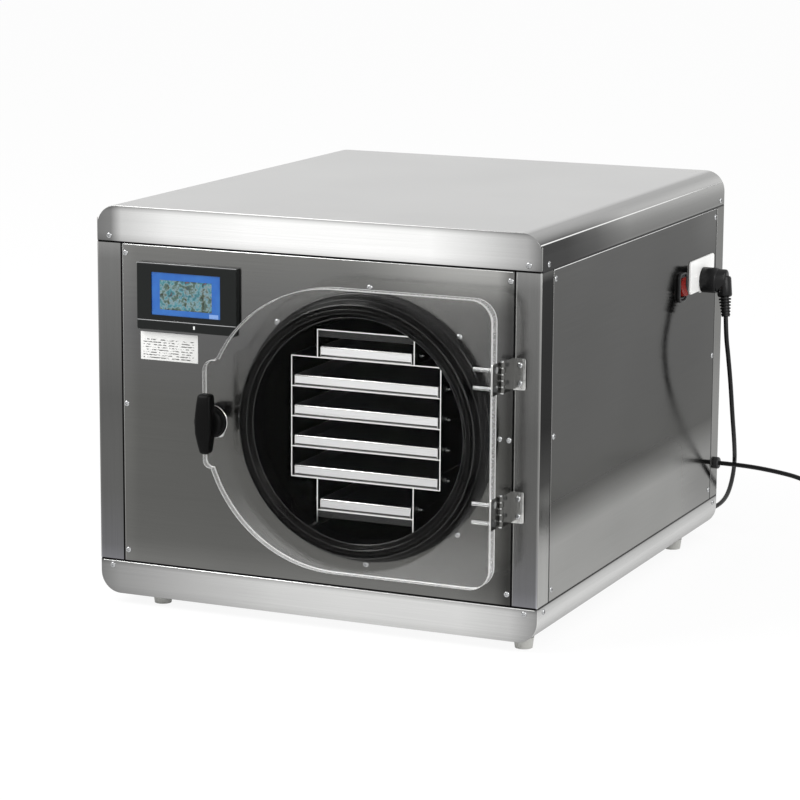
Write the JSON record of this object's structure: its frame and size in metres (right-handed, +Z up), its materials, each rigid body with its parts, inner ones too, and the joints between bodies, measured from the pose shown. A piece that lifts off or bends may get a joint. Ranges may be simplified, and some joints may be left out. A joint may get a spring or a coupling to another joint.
{
  "type": "freeze_dryer",
  "caption": "Benchtop laboratory freeze dryer: stainless cabinet, round vacuum chamber with tray rack, hinged clear acrylic door with a turning latch, touchscreen, pump outlet and supply cord",
  "frame": {"origin": "middle of the footprint's box on the surface that the feet stand on", "axes": "+Z up, -Y the front with the door, +X the right as seen from the front"},
  "size_m": [1.005, 0.958, 0.565],
  "materials": {
    "stainless_sheet": "satin brushed sheet",
    "chamber_steel": "polished, slightly streaked",
    "tray_steel": "bright satin",
    "hinge_steel": "satin",
    "bright_fasteners": "bright plated",
    "black_plastic": "fine matte",
    "black_silicone": "smooth, slight sheen",
    "clear_acrylic": "clear, polished edges",
    "display_glass": "lit panel behind flat glass",
    "foam": "closed-cell foam",
    "copper": "drawn tube",
    "fin_aluminium": "pressed fins",
    "black_steel": "black enamel",
    "white_plastic": "smooth moulded",
    "red_plastic": "smooth moulded",
    "cord_rubber": "flexible black jacket",
    "brass_fitting": "turned, lightly plated"
  },
  "bodies": {
    "cabinet": {"top_cover": "stainless_sheet", "base_tray": "stainless_sheet", "front_left_post": "stainless_sheet", "front_right_post": "stainless_sheet", "rear_left_post": "stainless_sheet", "rear_right_post": "stainless_sheet", "front_panel": "stainless_sheet", "right_side_panel": "stainless_sheet", "left_side_panel": "stainless_sheet", "back_panel": "stainless_sheet", "chamber_drum": "chamber_steel", "rack_frame": "chamber_steel", "vacuum_port": "chamber_steel", "tray_1": "tray_steel", "tray_2": "tray_steel", "tray_3": "tray_steel", "tray_4": "tray_steel", "tray_5": "tray_steel", "tray_6": "tray_steel", "case_screws": "bright_fasteners", "flange_screws": "bright_fasteners", "rack_bolts": "bright_fasteners", "hinge_pins": "bright_fasteners", "hinge_screws": "bright_fasteners", "latch_keeper": "bright_fasteners", "upper_hinge_post_leaf": "hinge_steel", "lower_hinge_post_leaf": "hinge_steel", "touchscreen_bezel": "black_plastic", "switch_housing": "black_plastic", "cord_gland": "black_plastic", "feet": "black_plastic", "door_gasket": "black_silicone", "touchscreen_display": "display_glass", "rack_cross_bars": "black_plastic", "chamber_insulation": "foam", "evaporator_coil": "copper", "condenser": "fin_aluminium", "fan_shroud": "black_steel", "compressor": "black_steel", "outlet_plate": "white_plastic", "pump_plug": "cord_rubber", "pump_connector": "cord_rubber", "supply_plug": "cord_rubber", "pump_lead": "cord_rubber", "pump_lead_coil": "cord_rubber", "supply_cord": "cord_rubber", "supply_cord_coil": "cord_rubber", "drain_valve": "brass_fitting"},
    "door": {"door_plate": "clear_acrylic", "upper_hinge_door_leaf": "hinge_steel", "lower_hinge_door_leaf": "hinge_steel", "door_edge_bolts": "bright_fasteners", "latch_washer": "bright_fasteners"},
    "latch": {"latch_handle": "black_plastic", "latch_spindle": "bright_fasteners", "latch_cam": "bright_fasteners", "latch_nut": "bright_fasteners"},
    "rocker": {"switch_rocker": "red_plastic"},
    "fan": {"fan_rotor": "black_plastic"},
    "drain_handle": {"drain_lever": "bright_fasteners"}
  },
  "joints": [
    {"name": "door_hinge", "type": "hinge", "parent": "cabinet", "child": "door", "pos_m": [0.28527, -0.394, 0.289], "axis": [0, 0, 1], "range_deg": [0, 135]},
    {"name": "latch_turn", "type": "hinge", "parent": "door", "child": "latch", "pos_m": [-0.12373, -0.424, 0.289], "axis": [0, 1, 0], "range_deg": [0, 90]},
    {"name": "switch_rock", "type": "hinge", "parent": "cabinet", "child": "rocker", "pos_m": [0.32327, 0.197, 0.415], "axis": [0, 1, 0], "range_deg": [0, 18]},
    {"name": "fan_spin", "type": "hinge", "parent": "cabinet", "child": "fan", "pos_m": [0.11727, 0.36, 0.205], "axis": [0, 1, 0], "continuous": true},
    {"name": "drain_turn", "type": "hinge", "parent": "cabinet", "child": "drain_handle", "pos_m": [0.08127, 0.418, 0.083], "axis": [0, 0, 1], "range_deg": [0, 90]}
  ]
}
